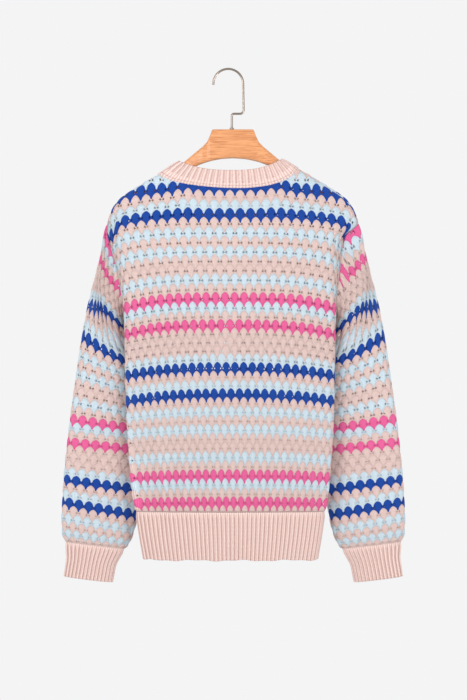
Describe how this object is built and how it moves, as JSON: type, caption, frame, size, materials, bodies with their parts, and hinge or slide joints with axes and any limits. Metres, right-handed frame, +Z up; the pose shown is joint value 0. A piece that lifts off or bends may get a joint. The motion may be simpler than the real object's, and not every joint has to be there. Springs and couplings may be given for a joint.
{
  "type": "striped knitted sweater on a wooden hanger",
  "caption": "Long-sleeved knitted sweater with ribbed neckband, hem and cuffs, hanging open and relaxed on a curved wooden hanger with an offset metal hook.",
  "frame": {"origin": "the top inside the hook, where the hook rests on a rail", "axes": "+Z up, +X to the right when the garment's back is seen, +Y towards the garment's front"},
  "size_m": [0.5716, 0.1243, 0.8521],
  "materials": {
    "shell_knit": "matte cotton knit in beige, pale blue, royal blue and pink stripes",
    "rib_knit": "matte ribbed cotton knit in pinkish beige",
    "beech_wood": "lacquered light beech",
    "hook_metal": "brushed nickel plate"
  },
  "bodies": {
    "root": {"back_panel": "shell_knit", "front_panel": "shell_knit", "sleeve_left": "shell_knit", "sleeve_right": "shell_knit", "neckband": "rib_knit", "hem_rib_back": "rib_knit", "hem_rib_front": "rib_knit", "cuff_left": "rib_knit", "cuff_right": "rib_knit", "hanger_body": "beech_wood", "hanger_hook": "hook_metal", "hook_collar": "hook_metal"}
  },
  "joints": []
}
